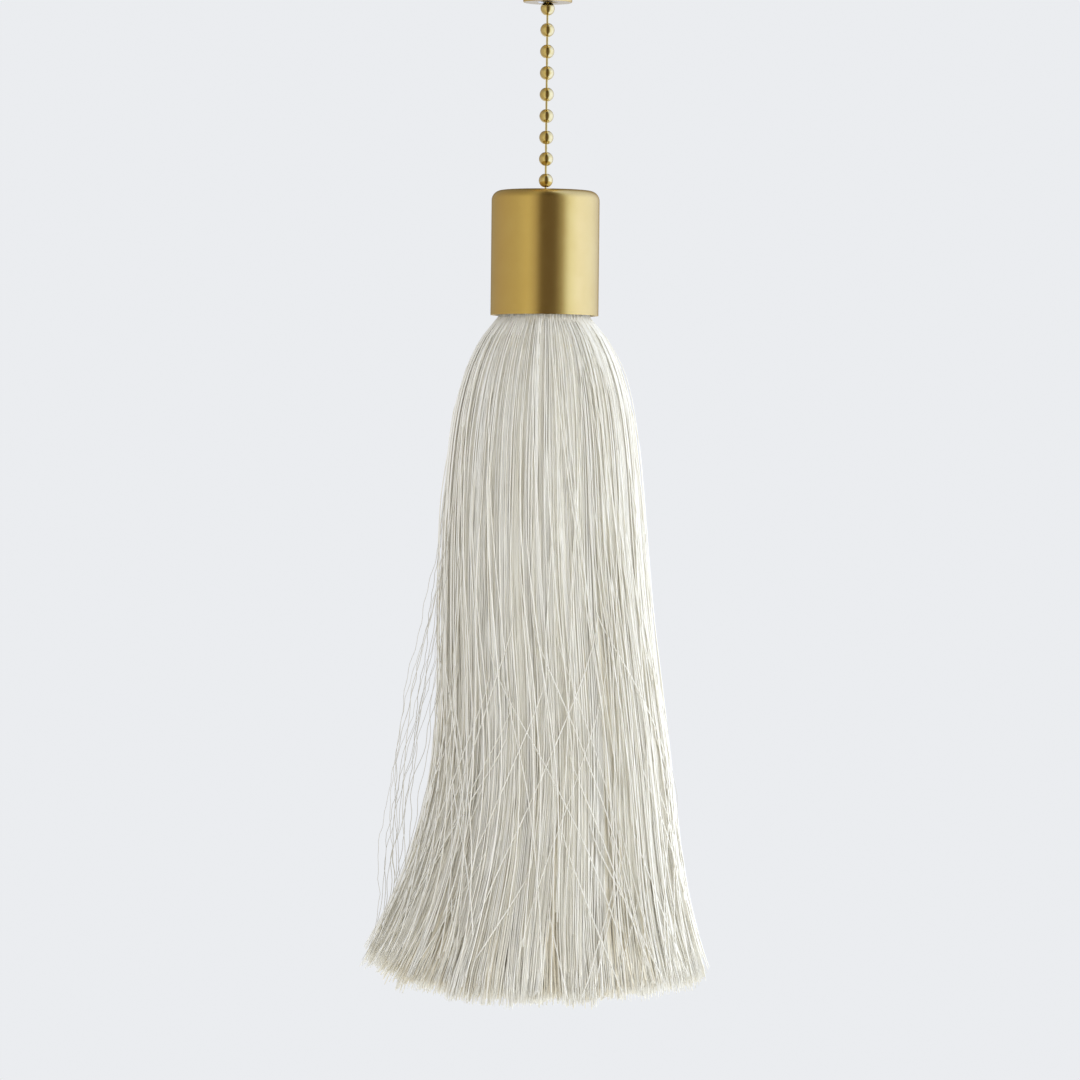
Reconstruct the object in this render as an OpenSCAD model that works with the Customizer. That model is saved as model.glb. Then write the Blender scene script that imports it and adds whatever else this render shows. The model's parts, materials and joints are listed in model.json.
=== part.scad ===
// Pendant pull cord switch: a round brass housing with a ratchet switch inside, worked by a
// ball chain that carries a brass cap and a fibre tassel.
// The origin is the mouth of the threaded hole on top, +Z is up, and everything hangs below it.
// Millimetres and degrees.

/* [Housing] */
// Outer diameter of the brass shell
shell_d = 34; // [34:0.5:38]
// Wall thickness of the shell
shell_wall = 0.8; // [0.7:0.1:1]
// Height from the chain outlet's mouth to the top of the housing
housing_h = 64; // [64:1:70]
// Bore of the M10 x 1 stem thread, at its minor diameter
stem_bore_d = 8.92; // [8.8:0.02:9.1]
// Length of the stem thread
stem_bore_len = 9; // [8:0.5:9]

/* [Chain outlet] */
// Diameter of the brass collar
collar_d = 11.8; // [11.4:0.1:13]
// Hole that the chain comes out of
outlet_hole_d = 4.9; // [4.9:0.1:5.1]

/* [Ball chain] */
// Diameter of a bead
bead_d = 3.4; // [3.3:0.05:3.4]
// Distance from one bead's centre to the next
bead_pitch = 5.165; // [5.1:0.005:5.25]
// Number of beads between the outlet and the tassel's cap
bead_count = 9; // [9:1:13]

/* [Mechanism] */
// How far the chain pulls before the switch clicks
travel = 8; // [7:0.5:8]
// Teeth on the pinion that the rack turns
pinion_teeth = 14; // [14:1:14]

/* [Tassel] */
// Outer diameter of the brass cap
cap_d = 26; // [26:0.5:30]
// Height of the brass cap
cap_h = 30; // [28:1:34]
// Height of fibre that shows below the cap
skirt_h = 162; // [140:2:180]
// Extra radius that the fibres gain at the hem
skirt_flare = 16.5; // [8:0.5:17]

/* [Hidden] */
$fn = 64;

// ---- Heights, from the outlet's mouth up, and down from it ----
mouth_z = -housing_h;
collar_top = 8;
shell_floor = collar_top + shell_wall;
nut_h = 2.5;
base_bottom = shell_floor + nut_h;
base_top = 45.5;
shell_top = housing_h - 8;
cover_spigot_h = 4.5;
cap_top_drop = 45.26 + (bead_count - 9) * bead_pitch;
cap_z = mouth_z - cap_top_drop;
cap_mouth_z = cap_z - cap_h;

// ---- Housing ----
shell_r = shell_d / 2;
shell_in_r = shell_r - shell_wall;
shell_corner = 3;
liner_wall = 0.8;
liner_r = shell_in_r - 0.1;
liner_in_r = liner_r - liner_wall;
base_r = liner_in_r - 0.1;
cover_wall = 1.5;
boss_r = 7.5;
cover_screw_count = 3;
cover_screw_z = mouth_z + shell_top - cover_spigot_h / 2;
cover_screw_r = 1.25;
set_screw_r = 1.5;
set_screw_z = -2.4;
stem_bore_r = stem_bore_d / 2;

// ---- Outlet ----
collar_r = collar_d / 2;
outlet_r = outlet_hole_d / 2;
sleeve_r = outlet_r + 0.55;
bush_r = 4;
mouth_flange_h = 0.5;
mouth_flange_r = collar_r - 0.3;
nut_across_corners = 13;

// ---- Chain ----
bead_r = bead_d / 2;
bead_wall = 0.25;
head_r = 0.6;
head_offset = bead_r - 0.7;
neck_r = 0.28;
hole_in_r = 0.55;
hole_out_r = 0.75;
first_bead_drop = 1.45;
hidden_beads = 3;
last_bead = bead_count + 1;
function bead_z(i) = mouth_z - first_bead_drop - (i - 1) * bead_pitch;
function bead_name(i) = i < 1 ? str("inner_bead_", i + hidden_beads) : str("bead_", i);
function link_name(i) = i < 1 ? str("inner_link_", i + hidden_beads) : str("link_", i);
first_bead = 1 - hidden_beads;

// ---- Rack and pinion: the full travel turns the pinion a quarter of a turn ----
pitch_r = travel / (PI / 2);
gear_module = 2 * pitch_r / pinion_teeth;
tooth_pitch = PI * gear_module;
addendum = 0.8 * gear_module;
dedendum = gear_module;
pressure_angle = 20;
backlash = 0.16;
rack_pitch_x = 1.6;
rack_half_y = 2;
pinion_x = rack_pitch_x + pitch_r;
pinion_h = 33.7;
pinion_half_y = 1.5;
axle_r = 1;
running_gap = 0.03;

// ---- Plunger, spring and anchor ----
spring_floor = base_bottom + 2;
flange_h = 26.3;
flange_t = 1.2;
flange_r = 5;
rod_r = 1.5;
rack_top = 44;
cavity_r = flange_r + 0.3;
spring_wire_r = 0.3;
spring_mean_r = 3.6;
spring_turns = 7;
spring_steps = 14;
anchor_r = outlet_r - 0.15;
anchor_in_r = bead_r + 0.1;
anchor_floor = 0.7;
anchor_seat = bead_r - 0.35;
anchor_len = 5.5;

// ---- Rotor and contacts, listed along +Y behind the pinion ----
ratchet_y = [1.6, 4.3];
pawl_y = [1.55, 2.85];
rotor_y = [4.4, 8.8];
bridge_y = [5.2, 8.0];
strip_y = [5.4, 7.8];
ratchet_r = 3.6;
ratchet_step = 1;
pawl_spring_arc = 48;
rotor_r = 4.4;
hub_r = 1.9;
contact_gap = 0.06;
strip_t = 0.5;
button_h = 0.44;
axle_y = [-5, 12];
terminal_size = [5, 5, 4.5];
terminal_y = 4.1;
terminal_screw_r = 1;
wire_hole_r = 0.9;
base_screws_at = [[-8.5, 17], [8.5, 17], [-8.5, 40]];
base_screw_r = 1;
base_screw_head = [1.9, 1.2];
base_screw_y = [-9, 8.5];

// ---- Tassel ----
cap_r = cap_d / 2;
cap_wall = 0.9;
cap_in_r = cap_r - cap_wall;
cap_plate = 1.3;
cap_edge = 2.4;
cap_hole_r = 1.1;
washer_z = cap_z - 5.1;
washer_t = 0.8;
core_r = 7;
core_h = 15;
neck_fibre_r = 11.3;
skirt_top_z = cap_mouth_z + 2;
shoulder = 11;
shoulder_drop = 13;
skirt_slope = 0.04;
flare_power = 6;
hem_round = 8;
binding_r = 0.35;
binding_turns = 5;

// ---- Shared shapes ----

// A ring or tube between two heights
module tube(outer, inner, z0, z1) {
    translate([0, 0, z0]) difference() {
        cylinder(r = outer, h = z1 - z0);
        translate([0, 0, -1]) cylinder(r = inner, h = z1 - z0 + 2);
    }
}

// A round bar along +Y between two depths, centred at (x, z)
module bar_y(r, x, z, y) {
    translate([x, y[0], z]) rotate([-90, 0, 0]) cylinder(r = r, h = y[1] - y[0]);
}

// A box given by its ranges along X, Y and Z
module block(x, y, z) {
    translate([x[0], y[0], z[0]]) cube([x[1] - x[0], y[1] - y[0], z[1] - z[0]]);
}

// Stands an outline in the XZ plane on the pinion's axis and gives it a depth along +Y
module on_axle(y) {
    translate([pinion_x, y[1], mouth_z + pinion_h]) rotate([90, 0, 0])
        linear_extrude(height = y[1] - y[0]) children();
}

function polar(r, a) = [r * cos(a), r * sin(a)];

// ---- Housing ----

module top_cover() {
    top = 0;
    rim = mouth_z + shell_top;
    color("darkgoldenrod") difference() {
        union() {
            rotate_extrude() polygon([
                [0, rim], [shell_r, rim], [shell_r, rim + cover_wall],
                [shell_r - 0.5, rim + cover_wall + 0.5], [boss_r + 2, top - 5], [boss_r, top - 4.2],
                [boss_r, top - 0.6], [boss_r - 0.6, top], [0, top]]);
            tube(shell_in_r - 0.05, liner_in_r, rim - cover_spigot_h, rim + 0.5);
            translate([0, 0, -stem_bore_len]) cylinder(r = boss_r, h = 4);
        }
        translate([0, 0, rim - 0.01]) rotate_extrude() polygon([
            [boss_r, -1], [liner_in_r, -1], [liner_in_r, cover_wall - 1], [boss_r, cover_wall]]);
        translate([0, 0, -stem_bore_len - 1]) cylinder(r = stem_bore_r, h = stem_bore_len + 2);
        translate([0, 0, set_screw_z]) rotate([0, 90, 0]) cylinder(r = set_screw_r, h = boss_r + 3);
        cover_screw_holes();
    }
}

module cover_screw_holes() {
    for (i = [0:cover_screw_count - 1]) rotate([0, 0, i * 360 / cover_screw_count - 90])
        translate([shell_in_r - 4, 0, cover_screw_z]) rotate([0, 90, 0]) cylinder(r = cover_screw_r, h = 6);
}

module stem_set_screw() {
    length = boss_r - stem_bore_r - 0.5;
    color("dimgray") translate([stem_bore_r + 0.3, 0, set_screw_z]) rotate([0, 90, 0]) difference() {
        cylinder(r = set_screw_r, h = length);
        translate([0, 0, length - 1.2]) cylinder(r = 0.85, h = 2, $fn = 6);
    }
}

module shell() {
    bottom = mouth_z + collar_top;
    color("darkgoldenrod") difference() {
        rotate_extrude() difference() {
            union() {
                translate([0, bottom]) square([shell_r - shell_corner, shell_corner]);
                translate([shell_r - shell_corner, bottom + shell_corner]) circle(r = shell_corner);
                translate([0, bottom + shell_corner])
                    square([shell_r, shell_top - collar_top - shell_corner]);
            }
            translate([-shell_r, bottom - 1]) square([shell_r, shell_top]);
            translate([0, bottom + shell_wall]) square([shell_r - shell_corner, shell_top]);
            translate([shell_r - shell_corner, bottom + shell_corner]) circle(r = shell_corner - shell_wall);
            translate([0, bottom + shell_corner]) square([shell_in_r, shell_top]);
        }
        translate([0, 0, bottom - 1]) cylinder(r = bush_r + 0.05, h = shell_wall + 2);
        cover_screw_holes();
    }
}

module cover_screws() {
    head_h = 0.9;
    color("darkgoldenrod")
        for (i = [0:cover_screw_count - 1]) rotate([0, 0, i * 360 / cover_screw_count - 90])
            translate([shell_r, 0, cover_screw_z]) rotate([0, 90, 0]) difference() {
                union() {
                    translate([0, 0, 0.02]) cylinder(r1 = 2.2, r2 = 1.7, h = head_h);
                    translate([0, 0, -2.2]) cylinder(r = cover_screw_r, h = 2.3);
                }
                translate([-3, -0.25, head_h - 0.45]) cube([6, 0.5, 1]);
            }
}

module insulating_liner() {
    color("linen") tube(liner_r, liner_in_r, mouth_z + collar_top + shell_corner + 0.2,
                        mouth_z + shell_top - cover_spigot_h - 0.2);
}

// The room that the mechanism needs inside the two halves of the base
module mechanism_room() {
    z = mouth_z + pinion_h;
    translate([0, 0, mouth_z]) {
        translate([0, 0, base_bottom - 1]) cylinder(r = anchor_r + 0.3, h = 4);
        translate([0, 0, spring_floor]) cylinder(r = cavity_r, h = flange_h + flange_t + 0.4 - spring_floor);
        block([-3.2, 2.6], [-rack_half_y - 0.2, rack_half_y + 0.2], [flange_h, base_top + 1]);
    }
    bar_y(pitch_r + addendum + 0.4, pinion_x, z, [-pinion_half_y - 0.3, ratchet_y[1] + 0.05]);
    bar_y(rotor_r + 0.3, pinion_x, z, [ratchet_y[1], rotor_y[1] + 0.2]);
    bar_y(axle_r, pinion_x, z, [axle_y[0], axle_y[1]]);
    for (side = [-1, 1]) block(contact_x(side, 0.2), [strip_y[0] - 0.2, strip_y[1] + 0.2],
                               [z + side * 5 - 1, z + side * 5 + 1]);
    for (side = [-1, 1]) block(riser_x(side, 0.15), [strip_y[0] - 0.2, strip_y[1] + 0.2],
                               [z + side * 5, mouth_z + base_top + 1]);
    block([pinion_x + ratchet_r - 0.2, pinion_x + ratchet_r + 0.6], [3, 4.35], [z - 1, z + 9.5]);
    for (p = base_screws_at) {
        bar_y(base_screw_r, p[0], mouth_z + p[1], [base_screw_y[0] - 1, base_screw_y[1] + 0.5]);
        bar_y(base_screw_head[0] + 0.15, p[0], mouth_z + p[1], [-base_r, base_screw_y[0]]);
    }
}

// One half of the base: side -1 is the front, 1 the rear
module base_half(side) {
    difference() {
        intersection() {
            translate([0, 0, mouth_z + base_bottom]) cylinder(r = base_r, h = base_top - base_bottom);
            translate([-base_r, side > 0 ? 0 : -base_r, mouth_z]) cube([2 * base_r, base_r, housing_h]);
        }
        mechanism_room();
    }
}

module base_front() { color("saddlebrown") base_half(-1); }
module base_rear() { color("saddlebrown") base_half(1); }

module base_screws() {
    color("silver") for (p = base_screws_at) difference() {
        union() {
            bar_y(base_screw_r, p[0], mouth_z + p[1], base_screw_y);
            bar_y(base_screw_head[0], p[0], mouth_z + p[1],
                  [base_screw_y[0] - base_screw_head[1], base_screw_y[0]]);
        }
        block([p[0] - 3, p[0] + 3], [base_screw_y[0] - 2, base_screw_y[0] - 0.7],
              [mouth_z + p[1] - 0.3, mouth_z + p[1] + 0.3]);
    }
}

// ---- Chain outlet ----

// The collar's rim comes down round the flange of the bell mouth
module outlet_bush() {
    edge = 0.5;
    rim_edge = 0.15;
    recess_r = mouth_flange_r + 0.03;
    color("darkgoldenrod") difference() {
        union() {
            translate([0, 0, mouth_z]) rotate_extrude() polygon([
                [0, mouth_flange_h], [recess_r, mouth_flange_h], [recess_r, 0],
                [collar_r - rim_edge, 0], [collar_r, rim_edge], [collar_r, collar_top - edge],
                [collar_r - edge, collar_top], [0, collar_top]]);
            translate([0, 0, mouth_z + collar_top - 0.1]) cylinder(r = bush_r, h = nut_h + shell_wall + 0.1);
        }
        translate([0, 0, mouth_z - 1]) cylinder(r = sleeve_r, h = base_bottom + 2);
    }
}

module bell_mouth() {
    lip = 0.35;
    color("silver") translate([0, 0, mouth_z]) rotate_extrude() {
        translate([outlet_r + lip, 0]) square([mouth_flange_r - lip - outlet_r, mouth_flange_h]);
        intersection() {
            translate([outlet_r + lip, lip]) circle(r = lip);
            square([mouth_flange_r, mouth_flange_h]);
        }
        translate([outlet_r, lip]) square([sleeve_r - outlet_r, base_bottom - lip]);
    }
}

module bush_nut() {
    color("silver") translate([0, 0, mouth_z + shell_floor]) difference() {
        cylinder(d = nut_across_corners, h = nut_h, $fn = 6);
        translate([0, 0, -1]) cylinder(r = bush_r, h = nut_h + 2);
    }
}

// ---- Plunger and return spring ----

// Outline of the rack, with its teeth towards +X and a gap level with the pinion's centre
module rack_outline() {
    half_gap = tooth_pitch / 4 + backlash / 4;
    root_x = rack_pitch_x - dedendum;
    tip_x = rack_pitch_x + addendum;
    lean = tan(pressure_angle);
    difference() {
        translate([-3, flange_h + flange_t - 0.1]) square([tip_x + 3, rack_top - flange_h - flange_t + 0.1]);
        for (k = [-1:6]) translate([0, pinion_h + k * tooth_pitch]) polygon([
            [root_x, -half_gap + dedendum * lean], [root_x, half_gap - dedendum * lean],
            [tip_x + 1, half_gap + (addendum + 1) * lean], [tip_x + 1, -half_gap - (addendum + 1) * lean]]);
    }
}

module plunger() {
    color("peru") union() {
        translate([0, rack_half_y, mouth_z]) rotate([90, 0, 0]) linear_extrude(height = 2 * rack_half_y)
            rack_outline();
        translate([0, 0, mouth_z + flange_h]) cylinder(r = flange_r, h = flange_t);
        translate([0, 0, bead_z(first_bead) + 2])
            cylinder(r = rod_r, h = mouth_z + flange_h - bead_z(first_bead));
    }
}

module chain_anchor() {
    bottom = bead_z(first_bead) - anchor_seat - anchor_floor;
    color("darkgoldenrod") difference() {
        translate([0, 0, bottom]) cylinder(r = anchor_r, h = anchor_len);
        translate([0, 0, bottom + anchor_floor]) cylinder(r = anchor_in_r, h = 2 + anchor_seat);
        translate([0, 0, bottom + anchor_floor]) cylinder(r = rod_r, h = anchor_len);
        translate([0, 0, bottom - 1]) cylinder(r = 1.1, h = 3);
        block([0, 3], [-0.45, 0.45], [bottom - 1, bottom + 2]);
    }
}

// Centre line of the coil: level at both ends, rising between them
function coil_point(t, z0, z1) =
    let (a = 360 * spring_turns * t, rise = t * t * (3 - 2 * t))
    [spring_mean_r * cos(a), spring_mean_r * sin(a), z0 + (z1 - z0) * rise];

module return_spring() {
    steps = spring_turns * spring_steps;
    sides = 8;
    z0 = mouth_z + spring_floor + spring_wire_r + 0.02;
    z1 = mouth_z + flange_h - spring_wire_r - 0.02;
    rings = [for (i = [0:steps]) let (
        p = coil_point(i / steps, z0, z1),
        a = 360 * spring_turns * i / steps)
        [for (k = [0:sides - 1]) let (b = 360 * k / sides)
            p + spring_wire_r * [cos(b) * cos(a), cos(b) * sin(a), sin(b)]]];
    points = [for (ring = rings) each ring];
    walls = [for (i = [0:steps - 1], k = [0:sides - 1]) let (n = (k + 1) % sides)
        [i * sides + k, i * sides + n, (i + 1) * sides + n, (i + 1) * sides + k]];
    ends = [[for (k = [sides - 1:-1:0]) k], [for (k = [0:sides - 1]) steps * sides + k]];
    color("silver") polyhedron(points = points, faces = concat(walls, ends));
}

// ---- Axle, pinion and ratchet ----

module axle_pin() {
    color("ivory") bar_y(axle_r, pinion_x, mouth_z + pinion_h, axle_y);
}

// Involute: how far round a flank point at radius r has turned, in degrees
function involute(r, base) = let (s = sqrt(max(0, pow(r / base, 2) - 1))) s * 180 / PI - atan(s);

module pinion_outline() {
    base = pitch_r * cos(pressure_angle);
    root = pitch_r - dedendum;
    tip = pitch_r + addendum;
    half = (tooth_pitch / 4 - backlash / 4) / pitch_r * 180 / PI + involute(pitch_r, base);
    flank = [for (i = [0:6]) let (r = base + (tip - base) * i / 6) [r, half - involute(r, base)]];
    difference() {
        union() {
            circle(r = root);
            for (k = [0:pinion_teeth - 1]) rotate(180 + k * 360 / pinion_teeth) polygon(concat(
                [polar(root - 0.5, -half)], [for (f = flank) polar(f[0], -f[1])],
                [for (i = [6:-1:0]) polar(flank[i][0], flank[i][1])], [polar(root - 0.5, half)]));
        }
        circle(r = axle_r + running_gap);
        translate(polar(4.1, 15)) circle(r = 0.45);
    }
}

module drive_pinion() {
    color("ivory") on_axle([-pinion_half_y, pinion_half_y]) pinion_outline();
}

module drive_pawl() {
    color("silver") on_axle(pawl_y) difference() {
        polygon([polar(2.85, 37), polar(2.8, 43), polar(3.9, 43), polar(4.9, 38), polar(5.1, 25),
                 polar(4.9, 6), polar(3.75, 6), polar(3.75, 22), polar(3.7, 34)]);
        translate(polar(4.1, 15)) circle(r = 0.45);
    }
}

module pawl_pin() {
    color("silver") on_axle([-0.8, 3.1]) translate(polar(4.1, 15)) circle(r = 0.45);
}

module pawl_spring() {
    color("silver") on_axle([1.6, 2.6]) intersection() {
        difference() {
            circle(r = 5.45);
            circle(r = 5.25);
        }
        polygon([[0, 0], polar(9, 0), polar(9, pawl_spring_arc / 2), polar(9, pawl_spring_arc)]);
    }
}

module ratchet_wheel() {
    color("silver") on_axle(ratchet_y) difference() {
        polygon([for (k = [0:3], a = [0:15:90]) polar(ratchet_r - ratchet_step * a / 90, 45 + 90 * k + a)]);
        circle(r = axle_r + running_gap);
    }
}

module holding_spring() {
    z = mouth_z + pinion_h;
    left = pinion_x + ratchet_r + 0.06;
    color("silver") block([left, left + 0.3], [3.1, 4.2], [z - 0.8, z + 9]);
}

// ---- Rotor and contacts ----

module bridge_bar(y, r) {
    on_axle(y) difference() {
        intersection() {
            circle(r = r);
            square([2 * rotor_r + 1, 1.6], center = true);
        }
        circle(r = hub_r);
    }
}

module contact_rotor() {
    color("ivory") difference() {
        on_axle(rotor_y) circle(r = rotor_r);
        bridge_bar(bridge_y, rotor_r + 0.2);
        on_axle([rotor_y[0] - 1, rotor_y[1] + 1]) circle(r = axle_r + running_gap);
    }
}

module contact_bridge() {
    color("peru") bridge_bar(bridge_y, rotor_r);
}

// Ranges along X of a fixed contact's leaf and of its riser: side 1 is above the rotor, -1 below
function contact_x(side, room) = side > 0 ? [pinion_x - 2.5 - room, pinion_x + 4.3 + room]
                                          : [pinion_x - 5.4 - room, pinion_x + 2.5 + room];
function riser_x(side, room) = side > 0 ? [pinion_x + 3.8 - room, pinion_x + 4.3 + room]
                                        : [pinion_x - 5.4 - room, pinion_x - 4.9 + room];

module fixed_contact(side) {
    z = mouth_z + pinion_h;
    face = rotor_r + contact_gap + button_h;
    leaf = side > 0 ? [z + face, z + face + strip_t] : [z - face - strip_t, z - face];
    color("peru") union() {
        block(contact_x(side, 0), strip_y, leaf);
        block(riser_x(side, 0), strip_y, [leaf[0], mouth_z + base_top + 2]);
        translate([pinion_x, (strip_y[0] + strip_y[1]) / 2, side > 0 ? leaf[0] - button_h : leaf[1]])
            cylinder(r = 0.9, h = button_h);
    }
}

module line_contact() { fixed_contact(-1); }
module load_contact() { fixed_contact(1); }

// Left side of a terminal block, which stands over its contact's riser
function terminal_left(side) = riser_x(side, 0)[0] - 3.5;

module terminal(side) {
    left = terminal_left(side);
    z = mouth_z + base_top;
    color("darkgoldenrod") difference() {
        translate([left, terminal_y, z]) cube(terminal_size);
        block(riser_x(side, 0), strip_y, [z - 1, z + 2]);
        translate([left, terminal_y, z] + terminal_size / 2) {
            rotate([90, 0, 0]) cylinder(r = wire_hole_r, h = terminal_size[1] + 2, center = true);
            cylinder(r = terminal_screw_r, h = terminal_size[2]);
        }
    }
}

module line_terminal() { terminal(-1); }
module load_terminal() { terminal(1); }

module terminal_screws() {
    color("silver") for (side = [-1, 1]) {
        translate([terminal_left(side) + terminal_size[0] / 2, terminal_y + terminal_size[1] / 2,
                   mouth_z + base_top + terminal_size[2]]) difference() {
            union() {
                translate([0, 0, -0.9]) cylinder(r = terminal_screw_r, h = 1);
                cylinder(r = 1.7, h = 1);
            }
            translate([-2, -0.25, 0.5]) cube([4, 0.5, 1]);
        }
    }
}

// ---- Ball chain ----

// A hollow bead with a flared hole at each pole
module bead(i) {
    color("gold") translate([0, 0, bead_z(i)]) difference() {
        sphere(r = bead_r);
        sphere(r = bead_r - bead_wall);
        for (side = [0, 180]) rotate([side, 0, 0]) translate([0, 0, bead_r - 0.45])
            cylinder(r1 = hole_in_r - 0.08, r2 = hole_out_r + 0.04, h = 0.6);
    }
}

// The dumb-bell wire that joins bead i to the next one down
module link(i) {
    top = bead_z(i) - head_offset;
    bottom = bead_z(i + 1) + head_offset;
    color("goldenrod") union() {
        translate([0, 0, top]) sphere(r = head_r);
        translate([0, 0, bottom]) cylinder(r = neck_r, h = top - bottom);
        translate([0, 0, bottom]) sphere(r = head_r);
    }
}

// ---- Tassel ----

module tassel_cap() {
    color("darkgoldenrod") difference() {
        rotate_extrude() difference() {
            union() {
                translate([0, cap_mouth_z]) square([cap_r, cap_h - cap_edge]);
                translate([0, cap_z - cap_edge]) square([cap_r - cap_edge, cap_edge]);
                translate([cap_r - cap_edge, cap_z - cap_edge]) circle(r = cap_edge);
            }
            translate([-cap_r, cap_mouth_z]) square([cap_r, cap_h + 1]);
            translate([0, cap_mouth_z - 1]) square([cap_in_r, cap_h - cap_edge + 1]);
            translate([0, cap_mouth_z - 1]) square([cap_in_r - 1, cap_h - cap_plate + 1]);
            translate([cap_in_r - 1, cap_z - cap_plate - 1]) circle(r = 1);
        }
        translate([0, 0, cap_z - 5]) cylinder(r = cap_hole_r, h = 10);
    }
}

module swivel_washer() {
    color("silver") translate([0, 0, washer_z - washer_t]) cylinder(r = cap_in_r - 0.05, h = washer_t);
}

module tassel_core() {
    color("burlywood") translate([0, 0, washer_z - washer_t - core_h]) difference() {
        cylinder(r = core_r, h = core_h);
        translate([0, 0, -1]) cylinder(r = 1.5, h = core_h - 3);
    }
}

module fibre_head() {
    color("ivory") tube(neck_fibre_r, core_r, skirt_top_z, washer_z - washer_t);
}

module binding_cord() {
    color("wheat") for (k = [0:binding_turns - 1])
        translate([0, 0, washer_z - washer_t - 5 - 2 * binding_r * k]) rotate_extrude()
            translate([neck_fibre_r + binding_r + 0.01, 0]) circle(r = binding_r, $fn = 24);
}

// Radius of the fibres at a depth below the cap's mouth: a quick shoulder, then a flare at the hem
function skirt_r(d) = neck_fibre_r + shoulder * (1 - exp(-d / shoulder_drop)) + skirt_slope * d
    + skirt_flare * pow(d / skirt_h, flare_power);

module tassel_skirt() {
    hem_z = cap_mouth_z - skirt_h;
    widest = skirt_r(skirt_h - hem_round);
    side = [for (d = [0:6:skirt_h - hem_round - 1]) [skirt_r(d), cap_mouth_z - 0.3 - d]];
    color("ivory") rotate_extrude() polygon(concat(
        [[0, skirt_top_z], [neck_fibre_r, skirt_top_z]], side,
        [[widest, hem_z + hem_round], [widest - 1.5, hem_z + 2.5], [widest / 2, hem_z], [0, hem_z]]));
}

top_cover();
stem_set_screw();
shell();
cover_screws();
insulating_liner();
base_front();
base_rear();
base_screws();
outlet_bush();
bell_mouth();
bush_nut();
plunger();
chain_anchor();
return_spring();
axle_pin();
drive_pinion();
drive_pawl();
pawl_pin();
pawl_spring();
ratchet_wheel();
holding_spring();
contact_rotor();
contact_bridge();
line_contact();
load_contact();
line_terminal();
load_terminal();
terminal_screws();
for (i = [first_bead:last_bead]) bead(i);
for (i = [first_bead:last_bead - 1]) link(i);
tassel_cap();
swivel_washer();
tassel_core();
fibre_head();
binding_cord();
tassel_skirt();
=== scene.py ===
"""Looks for the pendant pull cord switch: camera, light, materials and the fibres of the tassel."""
import json
import math

import bpy
import numpy as np
from mathutils import Matrix, Vector


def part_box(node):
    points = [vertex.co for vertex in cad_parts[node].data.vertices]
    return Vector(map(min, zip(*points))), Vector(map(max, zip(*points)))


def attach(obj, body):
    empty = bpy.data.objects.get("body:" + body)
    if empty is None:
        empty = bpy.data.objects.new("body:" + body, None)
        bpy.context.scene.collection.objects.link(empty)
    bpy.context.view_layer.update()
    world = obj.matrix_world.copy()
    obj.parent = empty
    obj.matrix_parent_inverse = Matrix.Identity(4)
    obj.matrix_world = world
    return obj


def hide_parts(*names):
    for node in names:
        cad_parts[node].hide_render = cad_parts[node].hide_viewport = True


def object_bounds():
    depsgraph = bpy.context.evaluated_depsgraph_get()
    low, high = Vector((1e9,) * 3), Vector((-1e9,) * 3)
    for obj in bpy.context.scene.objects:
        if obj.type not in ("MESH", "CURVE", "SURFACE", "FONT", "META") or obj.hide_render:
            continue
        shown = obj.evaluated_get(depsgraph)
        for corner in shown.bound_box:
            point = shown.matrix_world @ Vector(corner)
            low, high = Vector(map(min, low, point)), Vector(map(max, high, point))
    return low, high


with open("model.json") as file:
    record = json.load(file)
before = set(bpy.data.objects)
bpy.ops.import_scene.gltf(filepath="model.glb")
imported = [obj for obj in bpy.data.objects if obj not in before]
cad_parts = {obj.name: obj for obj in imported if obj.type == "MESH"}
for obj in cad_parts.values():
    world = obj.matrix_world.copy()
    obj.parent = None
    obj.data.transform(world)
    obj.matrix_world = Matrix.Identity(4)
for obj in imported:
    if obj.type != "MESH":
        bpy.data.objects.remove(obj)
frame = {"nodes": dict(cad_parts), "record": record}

MM = 0.001
TURN = 2 * math.pi
MIX_A, MIX_B, MIX_RESULT = 6, 7, 2  # the colour sockets of a Mix node, which share their names with others
cad_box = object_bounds()
nodes = frame["nodes"]

# ---- Places taken from the frame ----
cap_mouth_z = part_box("tassel_cap")[0].z
mouth_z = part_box("bell_mouth")[0].z
skirt_length = cap_mouth_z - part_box("tassel_skirt")[0].z
HEM_MARGIN = 4 * MM


def skirt_profile():
    """Depths below the cap's mouth and the CAD tassel's radius at each, down to where its hem turns in."""
    co = np.array([v.co for v in nodes["tassel_skirt"].data.vertices])
    depth = cap_mouth_z - co[:, 2]
    radius = np.hypot(co[:, 0], co[:, 1])
    levels = np.unique(np.round(depth, 5))
    widest = np.array([radius[np.abs(depth - level) < 2e-5].max() for level in levels])
    side = levels < skirt_length - HEM_MARGIN
    return levels[side], widest[side]


# ---- Camera and staging ----

VIEW_DISTANCE = 1.18
VIEW_SIDE = -0.5 * MM
VIEW_HEIGHT = mouth_z - 112.5 * MM
AIM_HEIGHT = mouth_z - 129.3 * MM
VIEW_LEAN = math.radians(0.6)
FOCAL_LENGTH, SENSOR_WIDTH = 163.3, 36
KEY_PLACE, KEY_AIM = Vector((0.9, -0.9, 0.1)), Vector((0, 0, -0.2))
KEY_SIZE, KEY_POWER = 0.7, 3
FLOOR_DROP, FLOOR_RADIUS, FLOOR_SIDES = 0.6, 0.6, 96
BACKDROP = (0.83, 0.845, 0.87, 1)

# Colours round the room as (degrees, colour), 0 being the viewer's side and 90 the right.
# What lights the matt surfaces: a window on the right.
SOFT_LIGHT = [
    (-180, (1.06, 1.08, 1.14)), (-110, (1.22, 1.24, 1.31)), (-50, (1.06, 1.08, 1.13)),
    (0, (0.82, 0.835, 0.88)),
    (60, (1.62, 1.72, 1.90)), (120, (1.82, 1.94, 2.17)), (180, (1.06, 1.08, 1.14))]
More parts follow.
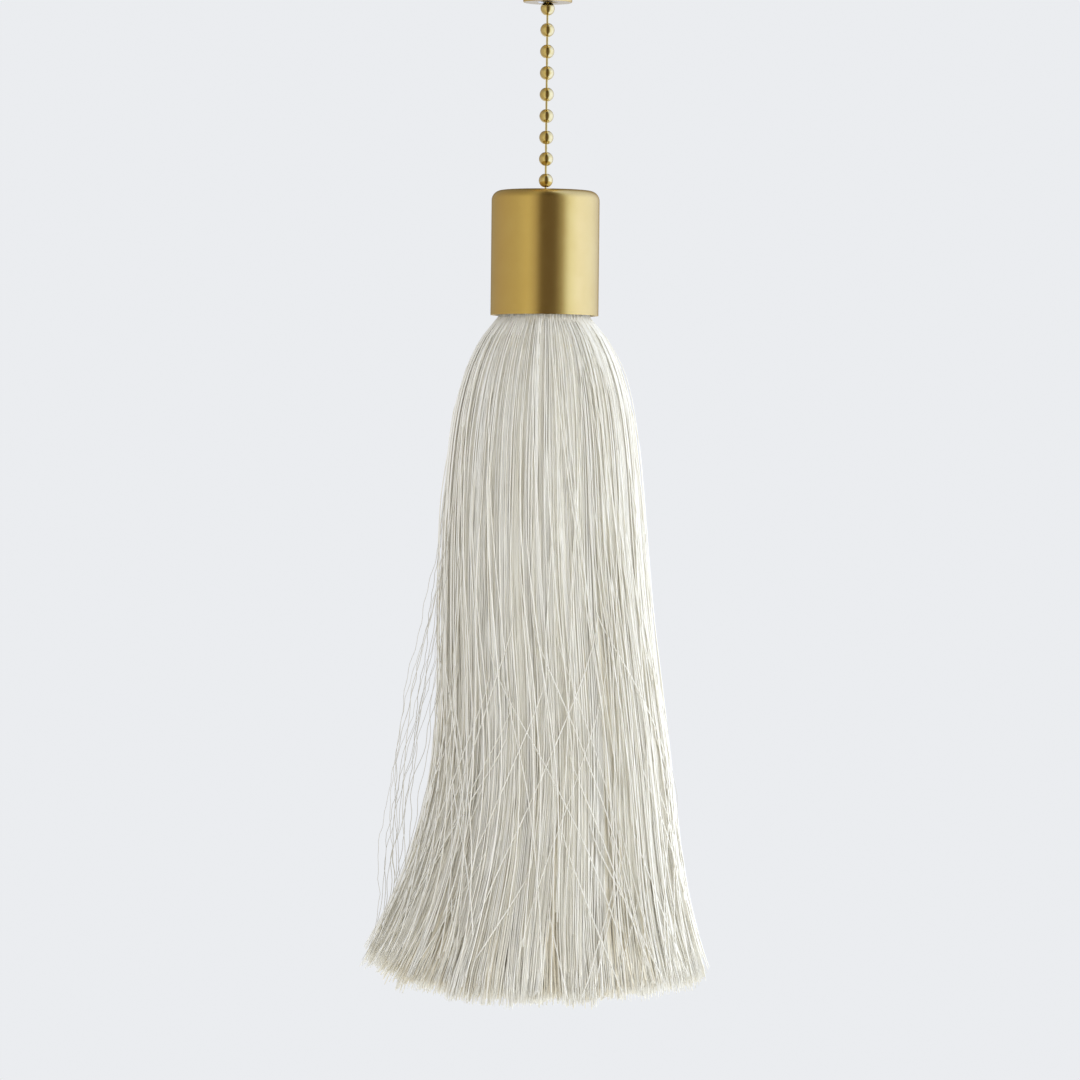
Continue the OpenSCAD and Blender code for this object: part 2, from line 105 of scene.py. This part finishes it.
# What shines in the metal: a warm wall on the left, a dark middle and the window.
SHINE = [
    (-180, (0.16, 0.12, 0.07)), (-150, (0.36, 0.31, 0.22)),
    (-120, (0.42, 0.35, 0.25)), (-60, (0.52, 0.45, 0.27)),
    (-36, (0.64, 0.57, 0.34)), (-20, (0.46, 0.39, 0.24)),
    (-9, (0.11, 0.075, 0.03)), (22, (0.11, 0.075, 0.03)),
    (38, (0.36, 0.32, 0.20)), (52, (0.90, 0.98, 1.02)), (75, (1.02, 1.13, 1.48)), (115, (0.95, 1.06, 1.42)),
    (145, (0.74, 0.78, 0.90)), (162, (0.40, 0.34, 0.24)), (180, (0.16, 0.12, 0.07))]
# The same below eye level, where a pale floor shines from behind.
LOW_SHINE = [
    (-180, (0.64, 0.61, 0.56)), (-150, (0.58, 0.55, 0.50)), *SHINE[2:-2],
    (155, (0.62, 0.60, 0.57)), (180, (0.64, 0.61, 0.56))]


def add_camera():
    data = bpy.data.cameras.new("camera")
    data.lens, data.sensor_width = FOCAL_LENGTH, SENSOR_WIDTH
    camera = bpy.data.objects.new("camera", data)
    bpy.context.scene.collection.objects.link(camera)
    place = Vector((VIEW_SIDE, -VIEW_DISTANCE, VIEW_HEIGHT))
    aim = Vector((VIEW_SIDE, 0, AIM_HEIGHT))
    look = (aim - place).to_track_quat("-Z", "Y").to_matrix().to_4x4()
    camera.matrix_world = Matrix.Translation(place) @ look @ Matrix.Rotation(VIEW_LEAN, 4, "Z")
    bpy.context.scene.camera = camera


def add_key_light():
    """A soft square light in front, on the viewer's right, left out of what shines in the metal."""
    data = bpy.data.lights.new("key", "AREA")
    data.size, data.energy = KEY_SIZE, KEY_POWER
    light = bpy.data.objects.new("key", data)
    bpy.context.scene.collection.objects.link(light)
    light.location = KEY_PLACE
    light.rotation_euler = (KEY_AIM - KEY_PLACE).to_track_quat("-Z", "Y").to_euler()
    light.visible_glossy = False


def bearing_nodes(nt):
    """Where a ray of the world goes: its bearing from 0 to 1, 0.5 being the viewer's side, and its height.

    Bearings grow towards the viewer's right."""
    where = nt.nodes.new("ShaderNodeTexCoord")
    split = nt.nodes.new("ShaderNodeSeparateXYZ")
    nt.links.new(where.outputs["Generated"], split.inputs[0])
    front = nt.nodes.new("ShaderNodeMath")
    front.operation = "MULTIPLY"
    front.inputs[1].default_value = -1
    nt.links.new(split.outputs["Y"], front.inputs[0])
    turn = nt.nodes.new("ShaderNodeMath")
    turn.operation = "ARCTAN2"
    nt.links.new(split.outputs["X"], turn.inputs[0])
    nt.links.new(front.outputs[0], turn.inputs[1])
    return remap(nt, turn.outputs[0], 0, 1, -math.pi, math.pi), split.outputs["Z"]


def room_colours(nt, bearing, stops):
    """Colours that go round the room. A stop is (degrees, colour), 0 being the viewer's side."""
    return ramp(nt, bearing, [(degrees / 360 + 0.5, colour) for degrees, colour in stops])


def room_light(nt, colour, strength):
    light = nt.nodes.new("ShaderNodeBackground")
    nt.links.new(colour, light.inputs["Color"])
    nt.links.new(strength, light.inputs["Strength"])
    return light


def studio_world():
    """A pale room with a window on the right: its soft light, its shine in metal and a plain backdrop."""
    world = bpy.data.worlds.new("studio")
    bpy.context.scene.world = world
    world.use_nodes = True
    nt = world.node_tree
    nt.nodes.clear()
    bearing, height = bearing_nodes(nt)
    soft = room_light(nt, room_colours(nt, bearing, SOFT_LIGHT), remap(nt, height, 1.42, 0.58, -0.5, 0.5))
    level = nt.nodes.new("ShaderNodeMix")
    level.data_type = "RGBA"
    nt.links.new(remap(nt, height, 0, 1, -0.08, -0.02), level.inputs["Factor"])
    nt.links.new(room_colours(nt, bearing, LOW_SHINE), level.inputs[MIX_A])
    nt.links.new(room_colours(nt, bearing, SHINE), level.inputs[MIX_B])
    shine = room_light(nt, level.outputs[MIX_RESULT], remap(nt, height, 1.0, 0.7, 0.3, 0.8))
    plain = nt.nodes.new("ShaderNodeBackground")
    plain.inputs["Color"].default_value = BACKDROP
    path = nt.nodes.new("ShaderNodeLightPath")
    gloss_or_soft = nt.nodes.new("ShaderNodeMixShader")
    nt.links.new(path.outputs["Is Glossy Ray"], gloss_or_soft.inputs["Fac"])
    nt.links.new(soft.outputs[0], gloss_or_soft.inputs[1])
    nt.links.new(shine.outputs[0], gloss_or_soft.inputs[2])
    seen = nt.nodes.new("ShaderNodeMixShader")
    nt.links.new(path.outputs["Is Camera Ray"], seen.inputs["Fac"])
    nt.links.new(gloss_or_soft.outputs[0], seen.inputs[1])
    nt.links.new(plain.outputs[0], seen.inputs[2])
    out = nt.nodes.new("ShaderNodeOutputWorld")
    nt.links.new(seen.outputs[0], out.inputs["Surface"])


def add_floor():
    """A pale round floor well below the hanging object, left out of what shines in the metal."""
    bearings = [TURN * i / FLOOR_SIDES for i in range(FLOOR_SIDES)]
    ring = [(FLOOR_RADIUS * math.cos(bearing), FLOOR_RADIUS * math.sin(bearing), 0) for bearing in bearings]
    mesh = bpy.data.meshes.new("floor")
    mesh.from_pydata(ring, [], [tuple(range(FLOOR_SIDES))])
    floor = bpy.data.objects.new("floor", mesh)
    floor.location.z = cad_box[0].z - FLOOR_DROP
    bpy.context.scene.collection.objects.link(floor)
    mat, nt, bsdf = material("pale_floor", (0.87, 0.885, 0.90), roughness=0.9)
    mesh.materials.append(mat)
    floor.visible_glossy = False


# ---- Material helpers ----

def material(name, colour, metallic=0.0, roughness=0.5, **sockets):
    """A Principled material. Extra sockets are named with underscores for spaces."""
    mat = bpy.data.materials.new(name)
    mat.use_nodes = True
    bsdf = mat.node_tree.nodes["Principled BSDF"]
    bsdf.inputs["Base Color"].default_value = (*colour, 1)
    bsdf.inputs["Metallic"].default_value = metallic
    bsdf.inputs["Roughness"].default_value = roughness
    for socket, value in sockets.items():
        bsdf.inputs[socket.replace("_", " ")].default_value = value
    return mat, mat.node_tree, bsdf


def noise(nt, scale, detail=3.0, roughness=0.5):
    """Noise in the object's own metres; scale is one number or one for each axis, in features per metre."""
    where = nt.nodes.new("ShaderNodeTexCoord")
    mapping = nt.nodes.new("ShaderNodeMapping")
    mapping.inputs["Scale"].default_value = scale if isinstance(scale, tuple) else (scale,) * 3
    texture = nt.nodes.new("ShaderNodeTexNoise")
    texture.inputs["Scale"].default_value = 1
    texture.inputs["Detail"].default_value = detail
    texture.inputs["Roughness"].default_value = roughness
    nt.links.new(where.outputs["Object"], mapping.inputs["Vector"])
    nt.links.new(mapping.outputs["Vector"], texture.inputs["Vector"])
    return texture.outputs["Fac"]


def ramp(nt, factor, stops):
    """Colours along a factor. A stop is (position, colour)."""
    node = nt.nodes.new("ShaderNodeValToRGB")
    elements = node.color_ramp.elements
    elements.remove(elements[0])
    for i, (place, colour) in enumerate(stops):
        element = elements[0] if i == 0 else elements.new(place)
        element.position = place
        element.color = (*colour, 1)
    nt.links.new(factor, node.inputs["Fac"])
    return node.outputs["Color"]


def remap(nt, value, low, high, start=0.3, end=0.7):
    """A number that goes from low to high while value goes from start to end."""
    node = nt.nodes.new("ShaderNodeMapRange")
    for name, number in (("From Min", start), ("From Max", end), ("To Min", low), ("To Max", high)):
        node.inputs[name].default_value = number
    nt.links.new(value, node.inputs["Value"])
    return node.outputs["Result"]


def multiply(nt, one, other):
    mix = nt.nodes.new("ShaderNodeMix")
    mix.data_type, mix.blend_type = "RGBA", "MULTIPLY"
    mix.inputs["Factor"].default_value = 1
    nt.links.new(one, mix.inputs[MIX_A])
    nt.links.new(other, mix.inputs[MIX_B])
    return mix.outputs[MIX_RESULT]


def bump(nt, bsdf, height, strength, distance):
    """Fine relief on a material. distance is how far height 1 stands above height 0."""
    node = nt.nodes.new("ShaderNodeBump")
    node.inputs["Strength"].default_value = strength
    node.inputs["Distance"].default_value = distance
    nt.links.new(height, node.inputs["Height"])
    nt.links.new(node.outputs["Normal"], bsdf.inputs["Normal"])


def metal(name, light, dark, rough, patch=180, grain=(3000, 3000, 9000), grain_depth=0.0006 * MM):
    """Metal with faint cloudy tarnish between two colours, uneven polish and a fine grain."""
    mat, nt, bsdf = material(name, light, metallic=1.0)
    cloud = noise(nt, patch, detail=5, roughness=0.6)
    nt.links.new(ramp(nt, cloud, [(0.35, dark), (0.65, light)]), bsdf.inputs["Base Color"])
    nt.links.new(remap(nt, noise(nt, patch * 3, detail=4), *rough), bsdf.inputs["Roughness"])
    bump(nt, bsdf, noise(nt, grain, detail=2), 0.5, grain_depth)
    return mat


def moulded(name, light, dark, rough, patch=300, pore=4000, depth=0.01 * MM):
    """Plastic, fibre board, wood or thread: two close colours, uneven sheen and a fine surface."""
    mat, nt, bsdf = material(name, light)
    cloud = noise(nt, patch, detail=4)
    nt.links.new(ramp(nt, cloud, [(0.35, dark), (0.65, light)]), bsdf.inputs["Base Color"])
    nt.links.new(remap(nt, noise(nt, 900), *rough), bsdf.inputs["Roughness"])
    bump(nt, bsdf, noise(nt, pore, detail=2), 0.5, depth)
    return mat


def fibre_material(name, darkest, usual, palest):
    """Matt fibre. Each strand has its own tint, which drifts along it, and painted warm shade on its
    flanks, which stands in for the shade in the gaps between strands.
    """
    mat, nt, bsdf = material(name, usual, roughness=0.6, Specular_IOR_Level=0.2)
    geometry = nt.nodes.new("ShaderNodeNewGeometry")
    own = ramp(nt, geometry.outputs["Random Per Island"], [(0.0, darkest), (0.4, usual), (1.0, palest)])
    drift = ramp(nt, noise(nt, (160, 160, 40), detail=3), [(0.3, (0.95, 0.94, 0.92)), (0.7, (1, 1, 1))])
    flank = nt.nodes.new("ShaderNodeAttribute")
    flank.attribute_name = "flank"
    # painted shade: each strand's flanks are darkened and warmed, as shade falling in the gaps between
    # strands
    shade = ramp(nt, flank.outputs["Fac"], [(0.0, (1, 1, 1)), (1.0, (0.95, 0.905, 0.79))])
    nt.links.new(multiply(nt, multiply(nt, own, drift), shade), bsdf.inputs["Base Color"])
    return mat


# ---- Finishes of the CAD nodes ----

def finishes():
    """One material for each of the record's material slots."""
    return {
        "cap_brass": metal(
            "satin_brass", (0.83, 0.645, 0.28), (0.80, 0.61, 0.25), (0.22, 0.25), patch=120,
            grain=(400, 400, 9000), grain_depth=0.0003 * MM),
        "housing_brass": metal(
            "lacquered_brass", (0.83, 0.645, 0.28), (0.79, 0.60, 0.245), (0.20, 0.23), patch=110),
        "chain_brass": metal(
            "polished_brass", (0.95, 0.84, 0.50), (0.82, 0.66, 0.30), (0.04, 0.09), patch=1100),
        "nickel_plate": metal("nickel_plate", (0.80, 0.79, 0.76), (0.74, 0.72, 0.69), (0.16, 0.26)),
        "spring_steel": metal("spring_steel", (0.60, 0.60, 0.62), (0.50, 0.50, 0.52), (0.22, 0.36)),
        "contact_bronze": metal("contact_bronze", (0.80, 0.48, 0.28), (0.70, 0.40, 0.24), (0.22, 0.34)),
        "terminal_brass": metal("terminal_brass", (0.82, 0.64, 0.30), (0.74, 0.55, 0.24), (0.20, 0.32)),
        "phenolic": moulded("brown_phenolic", (0.12, 0.055, 0.03), (0.07, 0.03, 0.018), (0.3, 0.45)),
        "fibre_board": moulded(
            "fibre_board", (0.62, 0.57, 0.45), (0.52, 0.47, 0.36), (0.7, 0.85), depth=0.03 * MM),
        "nylon": moulded("natural_nylon", (0.82, 0.81, 0.75), (0.76, 0.74, 0.67), (0.35, 0.5)),
        "core_wood": moulded(
            "turned_wood", (0.55, 0.38, 0.22), (0.42, 0.28, 0.15), (0.5, 0.7), patch=(900, 900, 90)),
        "binding_thread": moulded("waxed_thread", (0.62, 0.57, 0.46), (0.5, 0.45, 0.35), (0.5, 0.7)),
    }


# ---- Fibres ----

def gentle_noise(rng, count, steps, waves):
    """Smooth random lines from -1 to 1, one row each, as a sum of a few sine waves."""
    t = np.linspace(0, 1, steps)
    total = np.zeros((count, steps))
    for k in range(1, 4):
        phase = rng.uniform(0, TURN, (count, 1))
        speed = waves * k * rng.uniform(0.6, 1.4, (count, 1))
        total += rng.uniform(0.4, 1, (count, 1)) / k * np.sin(TURN * speed * t + phase)
    return total / 1.5


def strand_mesh(name, paths, radius, outward, mat, edge_out):
    """Closed three-sided tubes along paths of shape (count, rings, 3). outward is each ring's reference
    direction, which an edge of the tube faces if edge_out is true, and otherwise one of its flat sides."""
    count, rings, _ = paths.shape
    along = np.gradient(paths, axis=1)
    along /= np.linalg.norm(along, axis=2, keepdims=True)
    side = outward - (outward * along).sum(2, keepdims=True) * along
    side /= np.linalg.norm(side, axis=2, keepdims=True)
    across = np.cross(along, side)
    verts = np.empty((count, rings, 3, 3))
    for k in range(3):
        a = TURN * (k if edge_out else k + 0.5) / 3
        verts[:, :, k] = paths + radius[..., None] * (math.cos(a) * side + math.sin(a) * across)
    base = np.arange(count)[:, None, None] * rings * 3 + np.arange(rings - 1)[None, :, None] * 3
    k = np.arange(3)[None, None, :]
    n = (k + 1) % 3
    quads = np.stack([base + k, base + n, base + 3 + n, base + 3 + k], axis=3).reshape(-1, 4)
    first = np.arange(count)[:, None] * rings * 3
    last = first + (rings - 1) * 3
    ends = np.concatenate([first + [[2, 1, 0]], last + [[0, 1, 2]]])
    mesh = bpy.data.meshes.new(name)
    mesh.vertices.add(count * rings * 3)
    mesh.vertices.foreach_set("co", verts.reshape(-1).astype(np.float32))
    mesh.loops.add(quads.size + ends.size)
    corners = np.concatenate([quads.ravel(), ends.ravel()])
    mesh.loops.foreach_set("vertex_index", corners.astype(np.int32))
    mesh.polygons.add(len(quads) + len(ends))
    starts = np.concatenate([np.arange(len(quads)) * 4, quads.size + np.arange(len(ends)) * 3])
    mesh.polygons.foreach_set("loop_start", starts.astype(np.int32))
    smooth = np.arange(len(quads) + len(ends)) < len(quads)
    mesh.polygons.foreach_set("use_smooth", smooth)
    mesh.update(calc_edges=True)
    unwrap_strands(mesh, count, rings)
    # painted shade: marks each strand's flanks, which its material darkens and warms as shade between
    # strands
    flank = mesh.attributes.new("flank", "FLOAT", "POINT")
    shade = [0.0, 1.0, 1.0] if edge_out else [0.35, 1.0, 0.35]
    flank.data.foreach_set("value", np.tile(shade, count * rings).astype(np.float32))
    mesh.materials.append(mat)
    piece = bpy.data.objects.new(name, mesh)
    bpy.context.scene.collection.objects.link(piece)
    return piece


def unwrap_strands(mesh, count, rings):
    """Gives each strand a cell of its own in a square grid: its three sides across, its length up."""
    columns = math.ceil(math.sqrt(count))
    cell = np.stack([np.arange(count) % columns, np.arange(count) // columns], axis=1) / columns
    margin, room = 0.1 / columns, 0.8 / columns
    ring, k = np.meshgrid(np.arange(rings - 1), np.arange(3), indexing="ij")
    across = np.stack([k, k + 1, k + 1, k], axis=2) / 3
    up = np.stack([ring, ring, ring + 1, ring + 1], axis=2) / (rings - 1)
    tube = np.stack([across, up], axis=3).reshape(1, -1, 2)
    sides = cell[:, None] + margin + room * tube
    tip = np.array([[0, 0], [0.3, 0], [0.15, 0.02]])[None]
    roots = cell[:, None] + margin + room * tip
    tips = cell[:, None] + margin + room * (tip + [[0, 0.98]])
    uv = np.concatenate([sides.reshape(-1, 2), roots.reshape(-1, 2), tips.reshape(-1, 2)])
    layer = mesh.uv_layers.new(name="OFBake")
    layer.data.foreach_set("uv", uv.ravel().astype(np.float32))


profile_depth, profile_radius = skirt_profile()
# How far up inside the cap the outer fibres start, and how far they are held in at its mouth
ROOT_RISE = 5 * MM
TUCK, TUCK_DEPTH = 1.0 * MM, 1.5 * MM
# How far the tassel bows to the right, at what depth and over what length
BOW, BOW_DEPTH, BOW_SPREAD = 2.9 * MM, 108 * MM, 38 * MM
# How much the hem stands out on the left, and how late that begins
SPLAY, SPLAY_POWER = 6.0 * MM, 9
# How far the outline is drawn down at the hem
HEM_REACH = 5 * MM
# How far short of the full length the fibres end: in the middle and at the front and back, then how much
# more at both sides, on the left and under the outer layers
CORE_RISE, FRONT_RISE, SIDE_RISE, LEFT_RISE = 1.5 * MM, 0.8 * MM, 3.6 * MM, 4.8 * MM
UNDER_RISE = 1.4 * MM
# How thick the strands are
THICK_STRAND, STRAND, FINE_STRAND = 0.3 * MM, 0.24 * MM, 0.19 * MM


def outline(depth):
    """Radius of the tassel at a depth below the cap's mouth. It widens as far as the fibres' ends."""
    reach = HEM_REACH * (depth / skirt_length) ** 8
    return np.interp(depth - reach, profile_depth, profile_radius)


def leftness(bearing):
    """1 on the side towards -X, where the hem splays most, and 0 on the side towards +X."""
    return 0.5 - 0.5 * np.cos(bearing)


def hem_drop(bearing, where):
    """Mean drop of the fibres' ends below the cap's mouth. The further out they splay, the higher they end.
    The fibres just under the outer layers end a little higher than those do."""
    hidden = np.clip((0.968 - where) / 0.01, 0, 1) * np.clip((where - 0.9) / 0.03, 0, 1)
    rise = FRONT_RISE + SIDE_RISE * np.cos(bearing) ** 2 + LEFT_RISE * leftness(bearing) ** 8
    outer = np.minimum(1, where / 0.94) ** 6
    return skirt_length - (CORE_RISE + outer * (rise - CORE_RISE) + UNDER_RISE * hidden)


def grow(where, angle, drop, steps, sideways, lift=0.0):
    """Paths of fibres that fan out of the cap.
    where is each fibre's place between the axis (0) and the outside (1), angle its bearing and drop how far
    its end hangs below the cap's mouth. sideways and lift say how far each ring lies off that line, round
    the tassel and outward."""
    depth = -ROOT_RISE + (drop[:, None] + ROOT_RISE) * np.linspace(0, 1, steps) ** 1.1
    below = np.maximum(depth, 0)
    splay = SPLAY * leftness(angle)[:, None] ** 2 * (below / skirt_length) ** SPLAY_POWER
    tuck = TUCK * np.exp(-below / TUCK_DEPTH)
    out = where[:, None] * (outline(below) + splay - tuck) + lift
    bearing = angle[:, None] + sideways / np.maximum(out, 4 * MM)
    shift = BOW * np.exp(-((depth - BOW_DEPTH) / BOW_SPREAD) ** 2)
    path = np.stack([out * np.cos(bearing) + shift, out * np.sin(bearing), cap_mouth_z - depth], axis=2)
    outward = np.stack([np.cos(bearing), np.sin(bearing), np.zeros_like(bearing)], axis=2)
    return path, outward


def blunt(radius, steps):
    """Radius of each ring: fuller towards the hem, with a narrower cut end."""
    fade = np.linspace(0.85, 1.25, steps)
    fade[-1] = 0.7
    return radius[:, None] * fade[None]


def add_fibres(name, path, radius, outward, mat, edge_out=False, stands_for="tassel_skirt"):
    piece = strand_mesh(name, path, blunt(radius, path.shape[1]), outward, mat, edge_out)
    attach(piece, "tassel")
    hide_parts(stands_for)


def fibre_layer(name, seed, mat, locks, places, strands, spread, lean, thick, steps):
    """One layer of the tassel as a single piece, grown in locks whose strands stay together.
    places is the range of where, strands how many a lock may have, spread a lock's half width, lean how far
    the locks have drifted round the tassel by the hem, and thick a strand's thickness."""
    rng = np.random.default_rng(seed)
    lock = np.repeat(np.arange(locks), rng.integers(strands[0], strands[1] + 1, locks))
    count = len(lock)
    place = np.sqrt(rng.uniform(places[0] ** 2, places[1] ** 2, locks))
    where = np.clip(place[lock] + rng.normal(0, 0.004, count), 0, 1)
    angle = rng.uniform(0, TURN, locks)[lock]
    ragged = rng.normal(0, 1.1, locks)[lock] + rng.uniform(-0.6, 0.3, count)
    drop = hem_drop(angle, where) + MM * ragged
    t = np.linspace(0, 1, steps)[None]
    late = np.clip((t - 0.1) / 0.9, 0, 1) ** 1.3
    # the locks are wider and steadier at the tassel's left and right sides than at its front and back
    side = np.cos(angle) ** 2
    loose = 1 + 5 * side
    own = rng.normal(0, 1, count) * rng.uniform(0.5, 1.5, locks)[lock] * spread * loose
    fan = 1 + rng.uniform(-0.6, 0.8, locks)[lock][:, None] * t ** 6
    drift = rng.normal(0, lean, locks)[lock] + rng.normal(0, lean * 0.15, count)
    # a lock's tip flicks to one side, and a lock sways as one while each strand has kinks of its own
    flick = MM * rng.normal(0, 2.2, locks)[lock][:, None] * t ** 7
    sway = 0.6 * MM * gentle_noise(rng, locks, steps, 0.6)[lock] * np.minimum(1, t * 4)
    kink = 0.07 * MM * gentle_noise(rng, count, steps, 1) * np.minimum(1, t * 6)
    curl = (1 - 0.7 * side) * rng.normal(0, 0.6 * MM, locks)[lock]
    lift = 0.03 * MM * gentle_noise(rng, count, steps, 0.6) + curl[:, None] * t ** 8
    sideways = own[:, None] * fan + drift[:, None] * late + flick + sway + kink
    path, outward = grow(where, angle, drop, steps, sideways, lift)
    add_fibres(name, path, rng.uniform(0.8, 1.2, count) * thick / 2, outward, mat)


def crossing_fibres(name, seed, count, leans, starts, above):
    """Loose strands that leave the others part of the way down and cut across them on the surface.
    leans is the range of their slopes, starts of the part of the way where they leave, and above of how far
    short of the hem they end."""
    rng = np.random.default_rng(seed)
    steps = 48
    angle = rng.uniform(0, TURN, count)
    where = rng.uniform(0.99, 1.005, count)
    drop = hem_drop(angle, where) - rng.uniform(*above, count)
    past = np.maximum(np.linspace(0, 1, steps)[None] - rng.uniform(*starts, (count, 1)), 0)
    lean = rng.uniform(*leans, (count, 1)) * np.where(rng.random((count, 1)) < 0.65, 1, -1)
    run = (drop + ROOT_RISE)[:, None] * past ** 2 / (past + 0.03)
    sideways = lean * run + 0.25 * MM * gentle_noise(rng, count, steps, 2)
    lift = 0.9 * MM * np.minimum(1, past * 12)
    path, outward = grow(where, angle, drop, steps, sideways, lift)
    # these strands are coloured with painted highlight, a paler copy of the ivory fibre
    add_fibres(name, path, rng.uniform(1.0, 1.5, count) * STRAND / 2, outward, painted_highlight_fibre, edge_out=True)


def stray_fibres(name, seed, count):
    """Loose, thin, crinkled fibres that bow out of the side and come back near the hem."""
    rng = np.random.default_rng(seed)
    steps = 96
    around = count // 3
    angle = np.concatenate([rng.normal(math.pi, 0.45, count - around), rng.uniform(0, TURN, around)])
    drop = skirt_length * rng.uniform(0.86, 0.96, count)
    t = np.linspace(0, 1, steps)[None]
    start = rng.uniform(0.2, 0.6, (count, 1))
    peak = MM * np.concatenate([rng.uniform(1, 12, (count - around, 1)), rng.uniform(1, 4, (around, 1))])
    past = np.clip((t - start) / (1 - start), 0, 1)
    free = np.minimum(1, past * 4)
    drift = MM * rng.normal(0, 4, (count, 1)) * past
    sideways = drift + 0.3 * MM * gentle_noise(rng, count, steps, 6) * free
    arch = peak * np.sin(math.pi * past ** 1.5) ** 1.3
    lift = arch + 0.6 * MM * gentle_noise(rng, count, steps, 8) * free
    path, outward = grow(np.full(count, 0.99), angle, drop, steps, sideways, lift)
    add_fibres(name, path, rng.uniform(0.05, 0.08, count) * MM, outward, stray_fibre, edge_out=True)


def head_fibres(name, seed, count):
    """The bound top of the fibres, packed round the core inside the cap."""
    rng = np.random.default_rng(seed)
    low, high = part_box("fibre_head")
    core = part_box("tassel_core")[1].x
    steps = 8
    away = np.sqrt(rng.uniform((core + 0.2 * MM) ** 2, (high.x - 0.2 * MM) ** 2, count))
    angle = rng.uniform(0, TURN, count)
    z = np.linspace(high.z - 0.2 * MM, low.z + 0.2 * MM, steps)
    bearing = angle[:, None] + 0.03 * gentle_noise(rng, count, steps, 1)
    path = np.stack([away[:, None] * np.cos(bearing), away[:, None] * np.sin(bearing),
                     np.broadcast_to(z, (count, steps))], axis=2)
    outward = np.stack([np.cos(bearing), np.sin(bearing), np.zeros_like(bearing)], axis=2)
    add_fibres(name, path, np.full(count, 0.2 * MM), outward, fibre, stands_for="fibre_head")


# ---- Build ----

bpy.context.scene.view_settings.view_transform = "Standard"
add_camera()
studio_world()
add_key_light()
add_floor()

fibre = fibre_material("ivory_fibre", (0.90, 0.875, 0.78), (0.925, 0.905, 0.82), (0.94, 0.925, 0.85))
# painted highlight: a paler copy of the ivory fibre for the strands lying on top and those crossing them,
# which catch the most light
painted_highlight_fibre = fibre_material("painted_highlight_fibre", (0.94, 0.93, 0.87), (0.955, 0.945, 0.89), (0.965, 0.955, 0.91))
# painted shade: a darker, warmer copy of the ivory fibre, standing in for the tan shade in the gaps under
# the outer layers
painted_shade_fibre = fibre_material("painted_shade_fibre", (0.85, 0.79, 0.64), (0.88, 0.83, 0.69), (0.90, 0.86, 0.74))
stray_fibre = fibre_material("stray_fibre", (0.50, 0.48, 0.42), (0.58, 0.56, 0.50), (0.66, 0.64, 0.58))
looks = finishes()
for row in frame["record"]["subparts"]:
    if row["material_slot"] in looks:
        mesh = nodes[row["node"]].data
        mesh.materials.clear()
        mesh.materials.append(looks[row["material_slot"]])

# the top layer is coloured with painted highlight, a paler copy of the ivory fibre
fibre_layer("top_fibres", 11, painted_highlight_fibre, 105, (0.976, 0.985), (6, 14),
            0.35 * MM, 4 * MM, FINE_STRAND, 28)
for number in (1, 2, 3):
    fibre_layer(f"outer_fibres_{number}", 11 + number, fibre, 100, (0.963, 0.976), (8, 16),
                0.65 * MM, 2.5 * MM, FINE_STRAND, 26)
# the layers just under the outer ones are coloured with painted shade, a darker, warmer copy of the ivory
# fibre
for number in (1, 2):
    fibre_layer(f"under_fibres_{number}", 20 + number, painted_shade_fibre, 120, (0.945, 0.962), (7, 11),
                0.9 * MM, 2 * MM, THICK_STRAND, 22)
fibre_layer("middle_fibres", 31, fibre, 190, (0.74, 0.94), (7, 12),
            1.3 * MM, 2 * MM, 0.55 * MM, 18)
fibre_layer("inner_fibres", 32, fibre, 300, (0.0, 0.76), (8, 14),
            1.4 * MM, 2 * MM, 0.7 * MM, 10)
crossing_fibres("leaning_fibres", 41, 95, (0.03, 0.12), (0.05, 0.5), (0, 20 * MM))
crossing_fibres("crossing_fibres", 43, 110, (0.2, 0.75), (0.5, 0.88), (0, 10 * MM))
stray_fibres("stray_fibres", 44, 27)
head_fibres("head_fibres", 51, 700)
